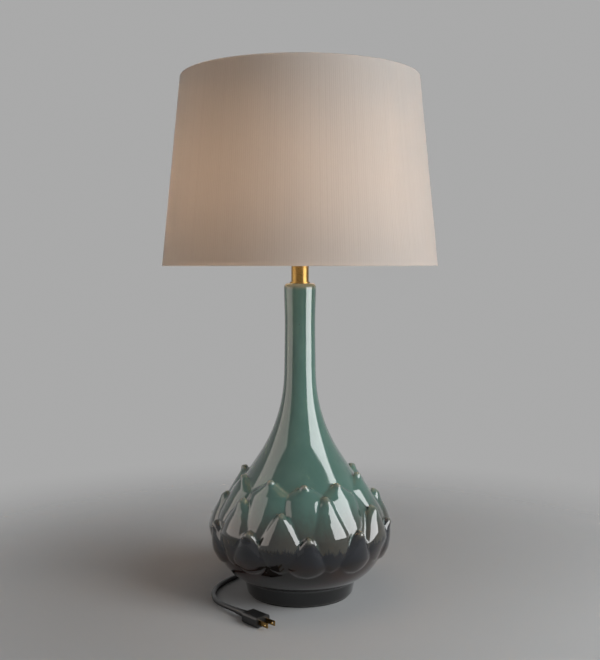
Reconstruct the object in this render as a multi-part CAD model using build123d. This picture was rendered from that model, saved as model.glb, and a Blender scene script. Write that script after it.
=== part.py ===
from build123d import *
import math
import os

# Table lamp: a glazed ceramic bottle with three rows of petals, brass neck and fittings,
# a harp, a fabric shade, a screw bulb and a mains cord.
# Millimetres, +Z up, front towards -Y, origin on the table under the middle of the foot.

# Fits
SLIDE = 0.3            # radial room of a piece that turns, slides or passes through
SNUG = 0.2             # radial room of a piece that is pushed in and stays
REST_GAP = 0.1         # room between faces of two pieces that move on each other
CORNER_SHARE = 0.45    # share of the shorter run that a rounded corner of a wire may take

# Shade
LAMP_HEIGHT = 762.0    # table to the top edge of the shade
SHADE_HEIGHT = 279.4
SHADE_TOP_R = 177.8
SHADE_BOTTOM_R = 203.2
FABRIC_T = 0.6
LINER_T = 0.8
RING_WIRE_R = 1.6      # wire of the top and bottom rings
HEM_LEG = 4.0          # height of the fabric turned up inside the bottom ring
ARM_WIRE_R = 1.4       # wire of the spider arms
ARM_COUNT = 3
ARM_RISE_RUN = 17.0    # horizontal length of the rising end of an arm
SPIDER_DROP = 22.0     # top edge of the shade down to the seat of the spider hub
HUB_R = 11.0
HUB_T = 1.6

# Ceramic body
FELT_T = 2.0
FELT_MARGIN = 1.5      # the felt stays this far inside the foot
BODY_TOP = 457.0
NECK_R = 23.6
LIP_ROUND = 4.5
FLARE_R = 220.0        # hollow curve from the shoulder up into the neck
SHOULDER_ANGLE = 36.0  # slope of the shoulder, from vertical
BELLY_R = 127.0
BELLY_Z = 89.0
BELLY_ARC = 70.0       # radius of the belly curve
FOOT_CREASE_R = 83.0   # where the belly meets the foot ring
FOOT_R = 78.5
FOOT_ROUND = 2.0
WALL = 7.0
RECESS_R = 66.0
RECESS_DEPTH = 22.0
FLOOR_T = 7.0
MOUTH_T = 8.0
MOUTH_R = 10.0

# Petals: ten in each row, the rows staggered by half a step
PETALS_PER_ROW = 10
PETAL_PHASE = 4.5      # the rows are turned this far to the right of the front
PETAL_BITE = 3.0       # how deep a petal is rooted in the wall
PETAL_TIP_T = 3.0
PETAL_SWELL = 0.8      # share of the thickness halfway up to the widest height
PETAL_EDGE_BOW = 0.60  # share of the half width halfway up an edge

# Pipe and brass neck
PIPE_R = 5.0
PIPE_BORE_R = 3.5
PIPE_TAIL = 2.0        # pipe standing out under the bottom nut
WASHER_R = 20.0
WASHER_T = 2.0
BOTTOM_NUT_FLATS = 17.0
BOTTOM_NUT_T = 5.0
NECK_RING_R = 15.0
NECK_RING_T = 2.0
NECK_RING_COLLAR = 4.0
BRASS_NECK_R = 13.0
BRASS_NECK_H = 38.0
BRASS_NECK_WALL = 1.5
NECK_NUT_FLATS = 16.0
NECK_NUT_T = 4.0

# Harp
SADDLE_T = 1.6
SADDLE_X = 28.0        # middle of an upright of the saddle
SADDLE_W = 10.0
SADDLE_EYE_R = 10.0
SADDLE_UPRIGHT = 11.0  # from the seat to the shoulder that carries the sleeve
SADDLE_BEND = 4.0
TAB_W = 3.6
TAB_H = 6.0
HARP_WIRE_R = 1.8
HARP_LEG = 30.0        # straight foot of the bow
HARP_HALF_WIDTH = 54.0
HARP_CROWN_X = 30.0    # where the crown of the bow becomes level
HARP_FLARE = 0.26      # shares of the height from the legs to the crown: end of the flare,
HARP_SIDE_TOP = 0.36   # top of the straight side below the crown,
HARP_SHOULDER = 0.14   # shoulder below the crown,
HARP_SHOULDER_X = 0.87 # and the shoulder's share of the half width
HARP_EYE_R = 8.0
HARP_EYE_T = 2.6
SLEEVE_WALL = 0.8
SLEEVE_H = 12.0
STUD_R = 3.1
STUD_STEM_R = 2.4
STUD_SHOULDER_R = 7.0
STUD_SHOULDER_T = 2.0
STUD_HEAD_R = 4.2
STUD_HEAD_T = 1.5
STUD_LENGTH = 10.0     # thread above the shoulder
FINIAL_BASE_R = 6.5
FINIAL_WAIST_R = 4.9
FINIAL_BALL_R = 6.6
FINIAL_H = 19.0

# Lampholder
CAP_R = 18.0
CAP_H = 22.0
CAP_WALL = 0.8
CAP_ROUND = 7.0
BUSH_R = 8.0
BUSH_H = 7.0           # threaded bush of the cap, the pipe ends flush with it
SHELL_WALL = 0.8
SHELL_LAP = 8.0        # how far the shell goes down into the cap
LINER_TUBE_WALL = 0.8
HOLDER_H = 64.0        # foot of the cap to the rim of the shell
RIM_BEAD = 0.6
RIM_H = 2.0
CORE_FOOT = 16.5       # foot of the cap to the foot of the core
CORE_H = 21.5
CORE_FLAT_X = 11.0
TERMINAL_Z = 5.0       # terminal screw above the foot of the core
TERMINAL_HEAD_R = 2.6
TERMINAL_HEAD_T = 2.2
TERMINAL_SHANK_R = 1.5
TERMINAL_SHANK = 6.0
SCREW_SHELL_WALL = 0.5
SCREW_SHELL_H = 22.0
CONTACT_R = 3.0
CONTACT_T = 1.2
SWITCH_Z = 14.5        # switch shaft above the foot of the core
SHAFT_R = 2.2
SHAFT_DEPTH = 8.0      # depth of the shaft in the core
KNOB_R = 7.0
KNOB_L = 12.0
KNOB_STANDOFF = 2.0
KNOB_FLUTES = 12
KNOB_FLUTE_R = 0.9
KNOB_ROUND = 1.5

# Bulb
BULB_BASE_R = 13.0
BULB_BASE_WALL = 0.5
BULB_BASE_H = 22.0
BULB_TIP_R = 4.5
BULB_TIP_T = 2.0
BULB_CONE_H = 3.0
GLASS_R = 30.0
GLASS_T = 0.8
GLASS_LAP = 9.0        # neck of the glass inside the base
GLASS_NECK = 3.0       # straight neck above the base
GLASS_MIDDLE = 48.0    # top of the neck up to the widest height
STEM_FOOT_T = 1.5
STEM_FOOT_R = 7.0
STEM_TOP_R = 2.6
STEM_H = 32.0
FILAMENT_R = 0.4
FILAMENT_SPREAD = 12.0
FILAMENT_RISE = 16.0

# Cord
CORD_R = 3.5
LEAD_R = 1.2
LEAD_X = 1.6
GLAND_Z = 13.0
GLAND_R = 5.0
GLAND_TIP_R = 4.3
GLAND_FLANGE_R = 7.5
GLAND_FLANGE_T = 3.8
GLAND_STRAIGHT_END = 88.0
GLAND_TIP = 112.0
JACKET_END = 57.0      # the jacket is stripped here, inside the foot
LEAD_STRAIGHT = 13.0   # leads straight on from the jacket
LEAD_LEVEL_Y = 14.0    # leads level again from here to the pipe
LEAD_FLOOR_ROOM = 4.0  # middle of the leads above the felt
LEAD_SPREAD = 5.5      # leads start to part this far under the core
LEAD_SPREAD_END = 2.5
COIL_GAP = 0.5         # between turns of the coil
COIL_LIFT = 0.9        # the lowest turns lie on the tie
COIL_OUTER_R = 48.75   # outer turn, at its middle
COIL_HALF_TURNS = 11
COIL_START = (0.0, 168.0)
TIE_T = 0.6
TIE_W = 9.0
TIE_ROOM = 0.2
TIE_SIDE_ROOM = 0.6
PLUG_RELIEF_L = 26.0
PLUG_RELIEF_R = 5.5
PLUG_RELIEF_TIP_R = 4.0
PLUG_L = 30.0
PLUG_W = 24.0
PLUG_H = 14.0
PLUG_ROUND = 4.0
BLADE_L = 17.0
BLADE_T = 1.5
BLADE_H = 6.4
BLADE_PITCH = 12.7
BLADE_HOLE_R = 1.6
BLADE_HOLE_IN = 4.0    # hole back from the tip of a blade

# Heights worked out from the sizes above
ceramic_floor = FELT_T + RECESS_DEPTH
nut_foot = ceramic_floor - WASHER_T - BOTTOM_NUT_T
pipe_foot = nut_foot - PIPE_TAIL
neck_foot = BODY_TOP + NECK_RING_T
neck_top = neck_foot + BRASS_NECK_H
saddle_foot = neck_top + NECK_NUT_T
saddle_top = saddle_foot + SADDLE_T
holder_foot = saddle_top
pipe_top = holder_foot + BUSH_H
holder_top = holder_foot + HOLDER_H
core_foot = holder_foot + CORE_FOOT
core_top = core_foot + CORE_H
hub_seat = LAMP_HEIGHT - SPIDER_DROP
sleeve_seat = saddle_top + SADDLE_UPRIGHT
harp_foot = sleeve_seat + TAB_H
harp_eye_top = hub_seat - STUD_SHOULDER_T - REST_GAP
harp_crown = harp_eye_top - HARP_EYE_T / 2
bulb_foot = core_top + CONTACT_T + REST_GAP
base_foot = bulb_foot + BULB_TIP_T + BULB_CONE_H
base_top = base_foot + BULB_BASE_H

# Radii worked out from the sizes above
pipe_hole_r = PIPE_R + SLIDE
shell_r = CAP_R - CAP_WALL - SNUG
liner_tube_r = shell_r - SHELL_WALL - SNUG
core_r = liner_tube_r - LINER_TUBE_WALL - SNUG
screw_shell_bore = BULB_BASE_R + SLIDE


def disc(radius, foot, top):
    return Pos(0, 0, (foot + top) / 2) * Cylinder(radius, top - foot)


def tube(radius, bore, foot, top):
    return disc(radius, foot, top) - disc(bore, foot, top)


def spin(outline):
    """Solid turned about Z from an outline of (radius, height) edges."""
    return revolve(Plane.XZ * make_face(outline), axis=Axis.Z)


def along_y(solid, height):
    """Turn a solid built on Z so that its axis runs along +Y at the given height."""
    return Pos(0, 0, height) * Rot(-90, 0, 0) * solid


def hex_nut(flats, foot, thickness):
    outline = RegularPolygon(flats / 2, 6, major_radius=False) - Circle(PIPE_R + SNUG / 2)
    return Pos(0, 0, foot) * extrude(outline, thickness)


def corner_radii(points):
    """Radii of the arcs that round a route's corners, as large as its runs allow."""
    spots = [Vector(*p) for p in points]
    radii = []
    for before, corner, after in zip(spots, spots[1:], spots[2:]):
        run_in = corner - before
        run_out = after - corner
        turn = math.radians(run_in.get_angle(run_out))
        shorter = min(run_in.length, run_out.length)
        radii.append(CORNER_SHARE * shorter / math.tan(turn / 2))
    return radii


def rounded_path(points):
    """Straight runs joined by arcs."""
    return FilletPolyline(*[Vector(*p) for p in points], radius=corner_radii(points))


def wire_tube(path, radius):
    section = Plane(path @ 0, z_dir=path % 0) * Circle(radius)
    return sweep(section, path=path)


def report_tube(name, solid, path, radius):
    expected = math.pi * radius ** 2 * path.length
    print(f"{name}: length {path.length:.1f}, volume / (section x length) {solid.volume / expected:.4f}")


# Ceramic body

slope = math.radians(SHOULDER_ANGLE)
belly_middle = (BELLY_R - BELLY_ARC, BELLY_Z)
shoulder_foot = (
    belly_middle[0] + BELLY_ARC * math.cos(slope),
    belly_middle[1] + BELLY_ARC * math.sin(slope),
)
shoulder_length = (
    shoulder_foot[0] - NECK_R - FLARE_R * (1 - math.cos(slope))
) / math.sin(slope)
shoulder_top = (
    shoulder_foot[0] - shoulder_length * math.sin(slope),
    shoulder_foot[1] + shoulder_length * math.cos(slope),
)
flare_middle = (NECK_R + FLARE_R, shoulder_top[1] + FLARE_R * math.sin(slope))


def belly_point(angle, inset):
    """Point of the belly curve, inset into the wall, at an angle above level."""
    radius = BELLY_ARC - inset
    turn = math.radians(angle)
    return (belly_middle[0] + radius * math.cos(turn), belly_middle[1] + radius * math.sin(turn))


def flare_point(angle, inset):
    """Point of the hollow neck curve, inset into the wall, at an angle below level."""
    radius = FLARE_R + inset
    turn = math.radians(angle)
    return (flare_middle[0] - radius * math.cos(turn), flare_middle[1] - radius * math.sin(turn))


def body_r(height):
    """Radius of the bare body on the belly and the shoulder."""
    if height <= shoulder_foot[1]:
        return belly_middle[0] + math.sqrt(BELLY_ARC ** 2 - (height - BELLY_Z) ** 2)
    return shoulder_foot[0] - (height - shoulder_foot[1]) * math.tan(slope)


def flank(inset, foot_angle):
    """Belly, shoulder and neck curves from the foot up, as edges."""
    middle_angle = (foot_angle + SHOULDER_ANGLE) / 2
    belly = ThreePointArc(
        belly_point(foot_angle, inset),
        belly_point(middle_angle, inset),
        belly_point(SHOULDER_ANGLE, inset),
    )
    shoulder = Line(belly_point(SHOULDER_ANGLE, inset), flare_point(SHOULDER_ANGLE, inset))
    flare = ThreePointArc(
        flare_point(SHOULDER_ANGLE, inset),
        flare_point(SHOULDER_ANGLE / 2, inset),
        flare_point(0, inset),
    )
    return [belly, shoulder, flare]


def solid_body():
    foot_angle = -math.degrees(math.acos((FOOT_CREASE_R - belly_middle[0]) / BELLY_ARC))
    crease = belly_point(foot_angle, 0)
    edge = FOOT_ROUND * (1 - math.sqrt(0.5))
    lip = LIP_ROUND * (1 - math.sqrt(0.5))
    foot = [
        Line((0, FELT_T), (FOOT_R - FOOT_ROUND, FELT_T)),
        ThreePointArc(
            (FOOT_R - FOOT_ROUND, FELT_T),
            (FOOT_R - edge, FELT_T + edge),
            (FOOT_R, FELT_T + FOOT_ROUND),
        ),
        Line((FOOT_R, FELT_T + FOOT_ROUND), crease),
    ]
    mouth = [
        Line(flare_point(0, 0), (NECK_R, BODY_TOP - LIP_ROUND)),
        ThreePointArc(
            (NECK_R, BODY_TOP - LIP_ROUND),
            (NECK_R - lip, BODY_TOP - lip),
            (NECK_R - LIP_ROUND, BODY_TOP),
        ),
        Line((NECK_R - LIP_ROUND, BODY_TOP), (0, BODY_TOP)),
        Line((0, BODY_TOP), (0, FELT_T)),
    ]
    return spin(foot + flank(0, foot_angle) + mouth)


def body_hollow():
    floor_top = ceramic_floor + FLOOR_T
    foot_angle = -math.degrees(math.asin((BELLY_Z - floor_top) / (BELLY_ARC - WALL)))
    corner = belly_point(foot_angle, WALL)
    ceiling = BODY_TOP - MOUTH_T
    edges = flank(WALL, foot_angle) + [
        Line(flare_point(0, WALL), (NECK_R - WALL, ceiling)),
        Line((NECK_R - WALL, ceiling), (0, ceiling)),
        Line((0, ceiling), (0, floor_top)),
        Line((0, floor_top), corner),
    ]
    return spin(edges)


def petal(foot, widest, leave, tip, thickness, stand_off, half_width):
    """One petal, facing +X: rooted in the wall, its tip standing off the body."""
    middle = (foot + widest) / 2
    root_middle = (foot + leave) / 2
    tip_r = body_r(tip) + stand_off
    side = [
        ThreePointArc(
            (body_r(foot), foot),
            (body_r(middle) + PETAL_SWELL * thickness, middle),
            (body_r(widest) + thickness, widest),
        ),
        Line((body_r(widest) + thickness, widest), (tip_r, tip)),
        Line((tip_r, tip), (tip_r - PETAL_TIP_T, tip)),
        Line((tip_r - PETAL_TIP_T, tip), (body_r(leave) - PETAL_BITE, leave)),
        ThreePointArc(
            (body_r(leave) - PETAL_BITE, leave),
            (body_r(root_middle) - PETAL_BITE, root_middle),
            (body_r(foot) - PETAL_BITE, foot),
        ),
        Line((body_r(foot) - PETAL_BITE, foot), (body_r(foot), foot)),
    ]
    sector = 360 / PETALS_PER_ROW
    layer = revolve(Plane.XZ * make_face(side), axis=Axis.Z, revolution_arc=sector)
    layer = Rot(0, 0, -sector / 2) * layer
    bulge = PETAL_EDGE_BOW * half_width
    bulge_z = (widest + tip) / 2
    front = [
        ThreePointArc((-half_width, widest), (0, foot), (half_width, widest)),
        ThreePointArc((half_width, widest), (bulge, bulge_z), (0, tip)),
        ThreePointArc((0, tip), (-bulge, bulge_z), (-half_width, widest)),
    ]
    prism = extrude(Plane.YZ * make_face(front), amount=2 * BELLY_R)
    return layer & prism


def ceramic_body():
    rows = [
        petal(foot=118, widest=144, leave=162, tip=181, thickness=4.5, stand_off=11.5, half_width=29.0),
        petal(foot=84, widest=112, leave=134, tip=155, thickness=5.0, stand_off=12.5, half_width=36.0),
        petal(foot=54, widest=80, leave=98, tip=116, thickness=4.5, stand_off=7.5, half_width=38.5),
    ]
    step = 360 / PETALS_PER_ROW
    petals = []
    for row, shape in enumerate(rows):
        stagger = step / 2 if row % 2 else 0
        for place in range(PETALS_PER_ROW):
            petals.append(Rot(0, 0, -90 + PETAL_PHASE + stagger + step * place) * shape)
    body = solid_body() + petals
    body -= body_hollow()
    body -= disc(RECESS_R, FELT_T, ceramic_floor)
    body -= disc(PIPE_R + SLIDE, ceramic_floor, ceramic_floor + FLOOR_T)
    body -= disc(MOUTH_R, BODY_TOP - MOUTH_T, BODY_TOP)
    body -= along_y(disc(GLAND_R + SLIDE, JACKET_END, GLAND_TIP), GLAND_Z)
    return body


def felt_pad():
    return disc(FOOT_R - FOOT_ROUND - FELT_MARGIN, 0, FELT_T)


# Pipe, bottom fastening and brass neck

def bottom_washer():
    return tube(WASHER_R, pipe_hole_r, ceramic_floor - WASHER_T, ceramic_floor)


def lamp_pipe():
    return tube(PIPE_R, PIPE_BORE_R, pipe_foot, pipe_top)


def neck_ring():
    collar = tube(MOUTH_R - SLIDE, pipe_hole_r, BODY_TOP - NECK_RING_COLLAR, BODY_TOP)
    return collar + tube(NECK_RING_R, pipe_hole_r, BODY_TOP, neck_foot)


def brass_neck():
    outside = disc(BRASS_NECK_R, neck_foot, neck_top)
    inside = disc(BRASS_NECK_R - BRASS_NECK_WALL, neck_foot, neck_top - BRASS_NECK_WALL)
    return outside - inside - disc(pipe_hole_r, neck_foot, neck_top)


# Harp

def harp_saddle():
    outer_x = SADDLE_X + SADDLE_T / 2
    inner_x = SADDLE_X - SADDLE_T / 2
    outer = Pos(0, (saddle_foot + sleeve_seat) / 2) * Rectangle(2 * outer_x, sleeve_seat - saddle_foot)
    outer = fillet(outer.vertices().group_by(Axis.Y)[0], SADDLE_BEND)
    inner = Pos(0, (saddle_top + sleeve_seat) / 2) * Rectangle(2 * inner_x, sleeve_seat - saddle_top)
    inner = fillet(inner.vertices().group_by(Axis.Y)[0], SADDLE_BEND - SADDLE_T)
    strap = extrude(Plane.XZ * (outer - inner), amount=SADDLE_W / 2, both=True)
    strap += disc(SADDLE_EYE_R, saddle_foot, saddle_top)
    strap -= disc(pipe_hole_r, saddle_foot, saddle_top)
    for side in (-1, 1):
        strap += Pos(side * SADDLE_X, 0, sleeve_seat + TAB_H / 2) * Box(SADDLE_T, TAB_W, TAB_H)
    return strap


def harp_bow():
    leg_top = harp_foot + HARP_LEG
    span = harp_crown - leg_top
    points = [
        (SADDLE_X, 0, harp_foot),
        (SADDLE_X, 0, leg_top),
        (HARP_HALF_WIDTH, 0, leg_top + HARP_FLARE * span),
        (HARP_HALF_WIDTH, 0, harp_crown - HARP_SIDE_TOP * span),
        (HARP_SHOULDER_X * HARP_HALF_WIDTH, 0, harp_crown - HARP_SHOULDER * span),
        (HARP_CROWN_X, 0, harp_crown),
        (HARP_EYE_R - HARP_WIRE_R, 0, harp_crown),
    ]
    path = rounded_path(points)
    half = wire_tube(path, HARP_WIRE_R)
    eye = disc(HARP_EYE_R, harp_eye_top - HARP_EYE_T, harp_eye_top)
    bow = eye + half + mirror(half, about=Plane.YZ)
    stem_room = disc(STUD_STEM_R + SLIDE, harp_crown - HARP_WIRE_R, harp_crown + HARP_WIRE_R)
    flats = disc(HARP_EYE_R, harp_eye_top, harp_eye_top + HARP_WIRE_R)
    flats += disc(HARP_EYE_R, harp_eye_top - HARP_EYE_T - HARP_WIRE_R, harp_eye_top - HARP_EYE_T)
    return bow - stem_room - flats


def harp_sleeve(side):
    bore = HARP_WIRE_R + SLIDE
    sleeve = tube(bore + SLEEVE_WALL, bore, sleeve_seat + REST_GAP, sleeve_seat + REST_GAP + SLEEVE_H)
    return Pos(side * SADDLE_X, 0, 0) * sleeve


def harp_stud():
    head_top = harp_eye_top - HARP_EYE_T - REST_GAP
    shoulder_foot_z = harp_eye_top + REST_GAP
    return (
        disc(STUD_HEAD_R, head_top - STUD_HEAD_T, head_top)
        + disc(STUD_STEM_R, head_top, shoulder_foot_z)
        + disc(STUD_SHOULDER_R, shoulder_foot_z, hub_seat)
        + disc(STUD_R, hub_seat, hub_seat + STUD_LENGTH)
    )


def finial():
    foot = hub_seat + HUB_T + REST_GAP
    top = foot + FINIAL_H
    ball_z = top - FINIAL_BALL_R
    waist_z = (foot + ball_z) / 2
    neck = math.sqrt(FINIAL_BALL_R ** 2 - FINIAL_WAIST_R ** 2)
    outline = [
        Line((0, foot), (FINIAL_BASE_R, foot)),
        ThreePointArc(
            (FINIAL_BASE_R, foot),
            (FINIAL_WAIST_R, waist_z - neck / 2),
            (FINIAL_WAIST_R, ball_z - neck),
        ),
        ThreePointArc((FINIAL_WAIST_R, ball_z - neck), (FINIAL_BALL_R, ball_z), (0, top)),
        Line((0, top), (0, foot)),
    ]
    return spin(outline) - disc(STUD_R + SNUG, foot, hub_seat + STUD_LENGTH + REST_GAP)


# Lampholder

def side_hole(radius, height):
    """Round hole towards the front, from the axis out."""
    return along_y(disc(radius, -2 * CAP_R, 0), height)


switch_z = core_foot + SWITCH_Z
terminal_z = core_foot + TERMINAL_Z


def socket_cap():
    outside = disc(CAP_R, holder_foot, holder_foot + CAP_H)
    outside = fillet(outside.edges().group_by(Axis.Z)[0], CAP_ROUND)
    inside = disc(CAP_R - CAP_WALL, holder_foot + CAP_WALL, holder_foot + CAP_H)
    inside = fillet(inside.edges().group_by(Axis.Z)[0], CAP_ROUND - CAP_WALL)
    bush = disc(BUSH_R, holder_foot, pipe_top)
    return (outside - inside + bush) - disc(PIPE_R + SNUG / 2, holder_foot, pipe_top)


def socket_shell():
    foot = holder_foot + CAP_H - SHELL_LAP
    shell = tube(shell_r, shell_r - SHELL_WALL, foot, holder_top)
    bead = tube(shell_r + RIM_BEAD, shell_r - SHELL_WALL, holder_top - RIM_H, holder_top)
    return shell + bead - side_hole(SHAFT_R + 3 * SLIDE, switch_z)


def socket_liner():
    foot = holder_foot + CAP_H - SHELL_LAP
    liner = tube(liner_tube_r, liner_tube_r - LINER_TUBE_WALL, foot, holder_top - RIM_H)
    return liner - side_hole(SHAFT_R + 3 * SLIDE, switch_z)


def socket_core():
    core = disc(core_r, core_foot, core_top)
    flat_h = terminal_z + TERMINAL_HEAD_R + 2 * SLIDE - core_foot
    for side in (-1, 1):
        width = core_r - CORE_FLAT_X
        middle = side * (CORE_FLAT_X + width / 2)
        core -= Pos(middle, 0, core_foot + flat_h / 2) * Box(width, 2 * core_r, flat_h)
        hole = Rot(0, 90, 0) * Cylinder(TERMINAL_SHANK_R + SNUG / 2, TERMINAL_SHANK)
        core -= Pos(side * (CORE_FLAT_X - TERMINAL_SHANK / 2), 0, terminal_z) * hole
    core -= along_y(disc(SHAFT_R + SLIDE, -core_r, SHAFT_DEPTH - core_r), switch_z)
    return core


def terminal_screws():
    screws = []
    for side in (-1, 1):
        shank = Rot(0, 90, 0) * Cylinder(TERMINAL_SHANK_R, TERMINAL_SHANK)
        head = Rot(0, 90, 0) * Cylinder(TERMINAL_HEAD_R, TERMINAL_HEAD_T)
        screw = Pos(side * (CORE_FLAT_X - TERMINAL_SHANK / 2), 0, terminal_z) * shank
        screw += Pos(side * (CORE_FLAT_X + TERMINAL_HEAD_T / 2), 0, terminal_z) * head
        screws.append(screw)
    return Compound(children=screws)


def screw_shell():
    return tube(screw_shell_bore + SCREW_SHELL_WALL, screw_shell_bore, core_top, core_top + SCREW_SHELL_H)


def centre_contact():
    return disc(CONTACT_R, core_top, core_top + CONTACT_T)


knob_back = shell_r + RIM_BEAD + KNOB_STANDOFF


def switch_shaft():
    inner_end = core_r - SHAFT_DEPTH + SLIDE
    return along_y(disc(SHAFT_R, -knob_back - KNOB_L / 2, -inner_end), switch_z)


def switch_knob():
    knob = disc(KNOB_R, -knob_back - KNOB_L, -knob_back)
    knob = fillet(knob.edges().group_by(Axis.Z)[0], KNOB_ROUND)
    flute = disc(KNOB_FLUTE_R, -knob_back - KNOB_L, -knob_back)
    for place in PolarLocations(KNOB_R, KNOB_FLUTES):
        knob -= place * flute
    knob -= disc(SHAFT_R, -knob_back - KNOB_L / 2, -knob_back)
    return along_y(knob, switch_z)


# Bulb

def bulb_contact():
    return disc(BULB_TIP_R, bulb_foot, bulb_foot + BULB_TIP_T)


def bulb_insulator():
    foot = bulb_foot + BULB_TIP_T
    outline = Polyline(
        (0, foot), (BULB_TIP_R, foot), (BULB_BASE_R - BULB_BASE_WALL, base_foot), (0, base_foot), close=True
    )
    return spin(outline)


def bulb_base():
    return tube(BULB_BASE_R, BULB_BASE_R - BULB_BASE_WALL, base_foot, base_top)


glass_neck_r = BULB_BASE_R - BULB_BASE_WALL - SNUG
glass_foot = base_top - GLASS_LAP
glass_neck_top = base_top + GLASS_NECK
glass_middle = glass_neck_top + GLASS_MIDDLE


def glass_outline(inset):
    """Neck, hollow flare and globe of the bulb, inset by a wall."""
    globe = GLASS_R - inset
    neck = glass_neck_r - inset
    flare = (GLASS_MIDDLE ** 2 + neck ** 2 - globe ** 2) / (2 * (globe - neck))
    reach = globe + flare
    side_r = (neck + flare) / reach
    side_z = -GLASS_MIDDLE / reach
    meet = (globe * side_r, glass_middle + globe * side_z)
    half_turn = math.atan2(GLASS_MIDDLE, neck + flare) / 2
    hollow = (
        neck + flare - flare * math.cos(half_turn),
        glass_neck_top + flare * math.sin(half_turn),
    )
    crown = (globe * math.sqrt(0.5), glass_middle + globe * math.sqrt(0.5))
    return [
        Line((0, glass_foot), (neck, glass_foot)),
        Line((neck, glass_foot), (neck, glass_neck_top)),
        ThreePointArc((neck, glass_neck_top), hollow, meet),
        ThreePointArc(meet, crown, (0, glass_middle + globe)),
        Line((0, glass_middle + globe), (0, glass_foot)),
    ]


def bulb_glass():
    return spin(glass_outline(0)) - spin(glass_outline(GLASS_T))


stem_top = glass_foot + STEM_H


def bulb_stem():
    foot = disc(glass_neck_r - GLASS_T - SNUG, glass_foot, glass_foot + STEM_FOOT_T)
    cone = Polyline(
        (0, glass_foot), (STEM_FOOT_R, glass_foot), (STEM_TOP_R, stem_top), (0, stem_top), close=True
    )
    return foot + spin(cone)


def bulb_filament():
    foot_x = STEM_TOP_R / 2
    points = [
        (-foot_x, 0, stem_top),
        (-foot_x, 0, stem_top + FILAMENT_RISE / 4),
        (-FILAMENT_SPREAD, 0, stem_top + FILAMENT_RISE),
        (FILAMENT_SPREAD, 0, stem_top + FILAMENT_RISE),
        (foot_x, 0, stem_top + FILAMENT_RISE / 4),
        (foot_x, 0, stem_top),
    ]
    path = rounded_path(points)
    return wire_tube(path, FILAMENT_R)


# Shade

roll_bore = RING_WIRE_R + SLIDE
roll_r = roll_bore + FABRIC_T
shade_bottom = LAMP_HEIGHT - SHADE_HEIGHT
bottom_wire = (SHADE_BOTTOM_R - roll_r, shade_bottom + roll_r)
top_wire = (SHADE_TOP_R - roll_r, LAMP_HEIGHT - roll_r)
wall_lean = (bottom_wire[0] - top_wire[0]) / (top_wire[1] - bottom_wire[1])


def wall_r(height, inset):
    """Radius of the outside of the shade, less an inset, at a height."""
    return SHADE_BOTTOM_R - inset - (height - bottom_wire[1]) * wall_lean


def shade_band(foot, top, outer_inset, inner_inset):
    return Polyline(
        (wall_r(foot, outer_inset), foot),
        (wall_r(top, outer_inset), top),
        (wall_r(top, inner_inset), top),
        (wall_r(foot, inner_inset), foot),
        close=True,
    )


def hem_roll(wire, side):
    """Half round of fabric under (side -1) or over (side 1) a ring wire."""
    ring = Circle(roll_r) - Circle(roll_bore)
    half = Pos(0, side * roll_r / 2) * Rectangle(2 * roll_r, roll_r)
    return Pos(*wire) * (ring & half)


def shade_fabric():
    wall = make_face(shade_band(bottom_wire[1], top_wire[1], 0, FABRIC_T))
    leg = Pos(bottom_wire[0] - roll_r + FABRIC_T / 2, bottom_wire[1] + HEM_LEG / 2)
    turned = leg * Rectangle(FABRIC_T, HEM_LEG)
    section = wall + hem_roll(bottom_wire, -1) + hem_roll(top_wire, 1) + turned
    return revolve(Plane.XZ * section, axis=Axis.Z)


def shade_liner():
    foot = bottom_wire[1] + roll_r
    top = top_wire[1] - roll_r
    outer = FABRIC_T + REST_GAP
    return spin(shade_band(foot, top, outer, outer + LINER_T))


def shade_ring(wire):
    return Pos(0, 0, wire[1]) * Torus(wire[0], RING_WIRE_R)


def spider_hub():
    return tube(HUB_R, STUD_R + SLIDE, hub_seat + REST_GAP, hub_seat + HUB_T)


def spider_arms():
    level = hub_seat + (REST_GAP + HUB_T) / 2
    rise = Vector(ARM_RISE_RUN, 0, top_wire[1] - level)
    bend = (top_wire[0] - ARM_RISE_RUN, 0, level)
    tip = Vector(top_wire[0], 0, top_wire[1]) - rise.normalized() * (RING_WIRE_R + REST_GAP / 2)
    path = rounded_path([(HUB_R + REST_GAP / 2, 0, level), bend, (tip.X, tip.Y, tip.Z)])
    arm = wire_tube(path, ARM_WIRE_R)
    arms = [Rot(0, 0, 90 + 360 / ARM_COUNT * place) * arm for place in range(ARM_COUNT)]
    return Compound(children=arms)


# Cord, from the gland in the back of the foot to the plug

def cord_gland():
    flange_end = math.sqrt(RECESS_R ** 2 - GLAND_FLANGE_R ** 2) - SLIDE
    outline = Polyline(
        (CORD_R + SNUG / 2, flange_end - GLAND_FLANGE_T),
        (GLAND_FLANGE_R, flange_end - GLAND_FLANGE_T),
        (GLAND_FLANGE_R, flange_end),
        (GLAND_R, flange_end),
        (GLAND_R, GLAND_STRAIGHT_END),
        (GLAND_TIP_R, GLAND_TIP),
        (CORD_R + SNUG / 2, GLAND_TIP),
        close=True,
    )
    return along_y(spin(outline), GLAND_Z)


def cord_entry():
    return along_y(disc(CORD_R, JACKET_END, GLAND_TIP), GLAND_Z)


def inner_lead(side):
    lead_low = FELT_T + LEAD_FLOOR_ROOM
    terminal_x = CORE_FLAT_X + LEAD_R + SNUG
    points = [
        (side * LEAD_X, JACKET_END, GLAND_Z),
        (side * LEAD_X, JACKET_END - LEAD_STRAIGHT, GLAND_Z),
        (side * LEAD_X, LEAD_LEVEL_Y, lead_low),
        (side * LEAD_X, 0.0, lead_low),
        (side * LEAD_X, 0.0, core_foot - LEAD_SPREAD),
        (side * terminal_x, 0.0, core_foot - LEAD_SPREAD_END),
        (side * terminal_x, 0.0, terminal_z - TERMINAL_HEAD_R - REST_GAP),
    ]
    path = rounded_path(points)
    return wire_tube(path, LEAD_R)


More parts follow.
